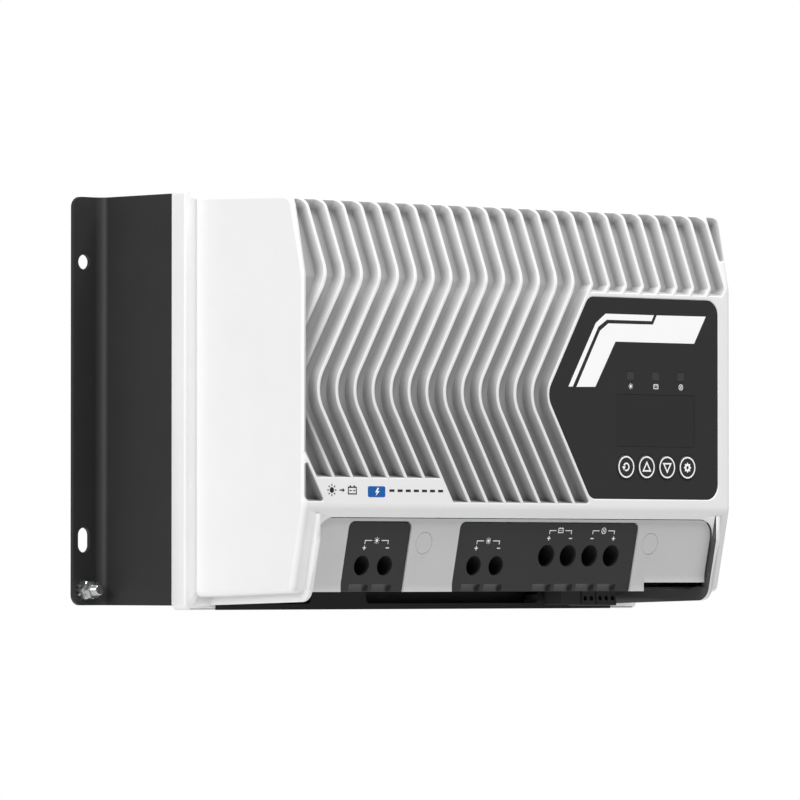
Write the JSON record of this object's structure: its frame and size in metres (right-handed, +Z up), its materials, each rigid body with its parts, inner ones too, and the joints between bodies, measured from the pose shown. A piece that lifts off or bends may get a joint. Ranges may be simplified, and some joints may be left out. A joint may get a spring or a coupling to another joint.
{
  "type": "solar charge controller",
  "caption": "Wall-mounted solar charge controller: white ribbed cover with a display and keys, black sheet chassis with ears, screw terminals below.",
  "frame": {"origin": "on the wall plane, in the middle of the four wall fixing holes", "axes": "+X to the right seen from the front, +Y into the wall, +Z up"},
  "size_m": [0.394, 0.1704, 0.24],
  "materials": {
    "chassis_black": "satin black powder coat",
    "cover_white": "satin white paint over a die casting",
    "terminal_grey": "light grey fine-textured plastic",
    "block_black": "matt black flame-retardant plastic",
    "panel_black": "black back-printed overlay, satin front",
    "lens_tint": "dark tinted window",
    "button_black": "matt black with a printed white ring and symbol",
    "zinc_steel": "bright zinc plate",
    "nickel_brass": "nickel-plated brass",
    "copper": "tinned copper strap",
    "raw_aluminium": "mill finish extrusion",
    "circuit_board": "green solder mask",
    "component_black": "moulded black epoxy",
    "ferrite": "sintered core with epoxy coat",
    "enamelled_copper": "enamelled copper wire",
    "capacitor_sleeve": "shrink sleeve",
    "fuse_body": "coloured fuse plastic",
    "foam_rubber": "closed-cell foam",
    "clear_plastic": "clear moulded light guide"
  },
  "bodies": {
    "root": {"blade_fuses": "fuse_body", "board_standoffs": "zinc_steel", "bottom_channel": "chassis_black", "bottom_plate": "chassis_black", "bus_bars": "copper", "capacitors": "capacitor_sleeve", "choke_cores": "ferrite", "choke_windings": "enamelled_copper", "com_port": "block_black", "control_board": "circuit_board", "cover_gasket": "foam_rubber", "cover_screws": "zinc_steel", "display_panel": "panel_black", "front_cover": "cover_white", "ground_stud": "zinc_steel", "heat_sink": "raw_aluminium", "lcd_lens": "lens_tint", "lcd_module": "component_black", "light_pipes": "clear_plastic", "mounting_bracket_left": "chassis_black", "mounting_bracket_right": "chassis_black", "pan_head_screws": "zinc_steel", "power_board": "circuit_board", "power_transistors": "component_black", "rear_panel": "chassis_black", "rear_panel_screws": "zinc_steel", "signal_headers": "block_black", "status_leds": "clear_plastic", "tact_switches": "component_black", "terminal_block_main": "block_black", "terminal_block_pv2": "block_black", "terminal_cover": "terminal_grey", "terminal_cover_plugs": "terminal_grey", "terminal_cover_posts": "zinc_steel", "top_channel": "chassis_black", "transistor_clamps": "zinc_steel"},
    "button_back": {"button_back": "button_black"},
    "button_up": {"button_up": "button_black"},
    "button_down": {"button_down": "button_black"},
    "button_set": {"button_set": "button_black"},
    "clamp_screw_pv2_pos": {"clamp_screw_pv2_pos": "zinc_steel"},
    "clamp_cage_pv2_pos": {"clamp_cage_pv2_pos": "nickel_brass"},
    "clamp_screw_pv2_neg": {"clamp_screw_pv2_neg": "zinc_steel"},
    "clamp_cage_pv2_neg": {"clamp_cage_pv2_neg": "nickel_brass"},
    "clamp_screw_pv1_pos": {"clamp_screw_pv1_pos": "zinc_steel"},
    "clamp_cage_pv1_pos": {"clamp_cage_pv1_pos": "nickel_brass"},
    "clamp_screw_pv1_neg": {"clamp_screw_pv1_neg": "zinc_steel"},
    "clamp_cage_pv1_neg": {"clamp_cage_pv1_neg": "nickel_brass"},
    "clamp_screw_batt_pos": {"clamp_screw_batt_pos": "zinc_steel"},
    "clamp_cage_batt_pos": {"clamp_cage_batt_pos": "nickel_brass"},
    "clamp_screw_batt_neg": {"clamp_screw_batt_neg": "zinc_steel"},
    "clamp_cage_batt_neg": {"clamp_cage_batt_neg": "nickel_brass"},
    "clamp_screw_load_neg": {"clamp_screw_load_neg": "zinc_steel"},
    "clamp_cage_load_neg": {"clamp_cage_load_neg": "nickel_brass"},
    "clamp_screw_load_pos": {"clamp_screw_load_pos": "zinc_steel"},
    "clamp_cage_load_pos": {"clamp_cage_load_pos": "nickel_brass"},
    "signal_plug_2way": {"signal_plug_2way": "block_black"},
    "signal_plug_3way": {"signal_plug_3way": "block_black"},
    "ground_washer": {"ground_washer": "zinc_steel"},
    "ground_nut": {"ground_nut": "zinc_steel"}
  },
  "joints": [
    {"name": "button_back_press", "type": "slide", "parent": "root", "child": "button_back", "axis": [0, 1, 0], "range_m": [0, 0.0008], "stiffness_N_per_m": 400},
    {"name": "button_up_press", "type": "slide", "parent": "root", "child": "button_up", "axis": [0, 1, 0], "range_m": [0, 0.0008], "stiffness_N_per_m": 400},
    {"name": "button_down_press", "type": "slide", "parent": "root", "child": "button_down", "axis": [0, 1, 0], "range_m": [0, 0.0008], "stiffness_N_per_m": 400},
    {"name": "button_set_press", "type": "slide", "parent": "root", "child": "button_set", "axis": [0, 1, 0], "range_m": [0, 0.0008], "stiffness_N_per_m": 400},
    {"name": "pv2_pos_screw_turn", "type": "hinge", "parent": "root", "child": "clamp_screw_pv2_pos", "pos_m": [-0.1165, -0.135, -0.0947], "axis": [0, 1, 0], "range_deg": [0, 3240]},
    {"name": "pv2_pos_cage_slide", "type": "slide", "parent": "root", "child": "clamp_cage_pv2_pos", "axis": [0, -1, 0], "range_m": [0, 0.009]},
    {"name": "pv2_neg_screw_turn", "type": "hinge", "parent": "root", "child": "clamp_screw_pv2_neg", "pos_m": [-0.099, -0.135, -0.0947], "axis": [0, 1, 0], "range_deg": [0, 3240]},
    {"name": "pv2_neg_cage_slide", "type": "slide", "parent": "root", "child": "clamp_cage_pv2_neg", "axis": [0, -1, 0], "range_m": [0, 0.009]},
    {"name": "pv1_pos_screw_turn", "type": "hinge", "parent": "root", "child": "clamp_screw_pv1_pos", "pos_m": [-0.0305, -0.135, -0.0947], "axis": [0, 1, 0], "range_deg": [0, 3240]},
    {"name": "pv1_pos_cage_slide", "type": "slide", "parent": "root", "child": "clamp_cage_pv1_pos", "axis": [0, -1, 0], "range_m": [0, 0.009]},
    {"name": "pv1_neg_screw_turn", "type": "hinge", "parent": "root", "child": "clamp_screw_pv1_neg", "pos_m": [-0.0131, -0.135, -0.0947], "axis": [0, 1, 0], "range_deg": [0, 3240]},
    {"name": "pv1_neg_cage_slide", "type": "slide", "parent": "root", "child": "clamp_cage_pv1_neg", "axis": [0, -1, 0], "range_m": [0, 0.009]},
    {"name": "batt_pos_screw_turn", "type": "hinge", "parent": "root", "child": "clamp_screw_batt_pos", "pos_m": [0.0254, -0.135, -0.0889], "axis": [0, 1, 0], "range_deg": [0, 3240]},
    {"name": "batt_pos_cage_slide", "type": "slide", "parent": "root", "child": "clamp_cage_batt_pos", "axis": [0, -1, 0], "range_m": [0, 0.009]},
    {"name": "batt_neg_screw_turn", "type": "hinge", "parent": "root", "child": "clamp_screw_batt_neg", "pos_m": [0.0426, -0.135, -0.0889], "axis": [0, 1, 0], "range_deg": [0, 3240]},
    {"name": "batt_neg_cage_slide", "type": "slide", "parent": "root", "child": "clamp_cage_batt_neg", "axis": [0, -1, 0], "range_m": [0, 0.009]},
    {"name": "load_neg_screw_turn", "type": "hinge", "parent": "root", "child": "clamp_screw_load_neg", "pos_m": [0.0598, -0.135, -0.0889], "axis": [0, 1, 0], "range_deg": [0, 3240]},
    {"name": "load_neg_cage_slide", "type": "slide", "parent": "root", "child": "clamp_cage_load_neg", "axis": [0, -1, 0], "range_m": [0, 0.009]},
    {"name": "load_pos_screw_turn", "type": "hinge", "parent": "root", "child": "clamp_screw_load_pos", "pos_m": [0.077, -0.135, -0.0889], "axis": [0, 1, 0], "range_deg": [0, 3240]},
    {"name": "load_pos_cage_slide", "type": "slide", "parent": "root", "child": "clamp_cage_load_pos", "axis": [0, -1, 0], "range_m": [0, 0.009]},
    {"name": "signal_plug_2way_pull", "type": "slide", "parent": "root", "child": "signal_plug_2way", "axis": [0, 0, -1], "range_m": [0, 0.01]},
    {"name": "signal_plug_3way_pull", "type": "slide", "parent": "root", "child": "signal_plug_3way", "axis": [0, 0, -1], "range_m": [0, 0.01]},
    {"name": "ground_washer_slide", "type": "slide", "parent": "root", "child": "ground_washer", "axis": [0, -1, 0], "range_m": [0, 0.004]},
    {"name": "ground_nut_turn", "type": "hinge", "parent": "ground_washer", "child": "ground_nut", "pos_m": [-0.189, -0.008, -0.1088], "axis": [0, -1, 0], "range_deg": [0, 1440]}
  ],
  "couplings": [
    {"joint": "pv2_pos_screw_turn", "follows": "pv2_pos_cage_slide", "rad_per_m": 6283.2},
    {"joint": "pv2_neg_screw_turn", "follows": "pv2_neg_cage_slide", "rad_per_m": 6283.2},
    {"joint": "pv1_pos_screw_turn", "follows": "pv1_pos_cage_slide", "rad_per_m": 6283.2},
    {"joint": "pv1_neg_screw_turn", "follows": "pv1_neg_cage_slide", "rad_per_m": 6283.2},
    {"joint": "batt_pos_screw_turn", "follows": "batt_pos_cage_slide", "rad_per_m": 6283.2},
    {"joint": "batt_neg_screw_turn", "follows": "batt_neg_cage_slide", "rad_per_m": 6283.2},
    {"joint": "load_neg_screw_turn", "follows": "load_neg_cage_slide", "rad_per_m": 6283.2},
    {"joint": "load_pos_screw_turn", "follows": "load_pos_cage_slide", "rad_per_m": 6283.2},
    {"joint": "ground_nut_turn", "follows": "ground_washer_slide", "rad_per_m": 6283.2}
  ]
}
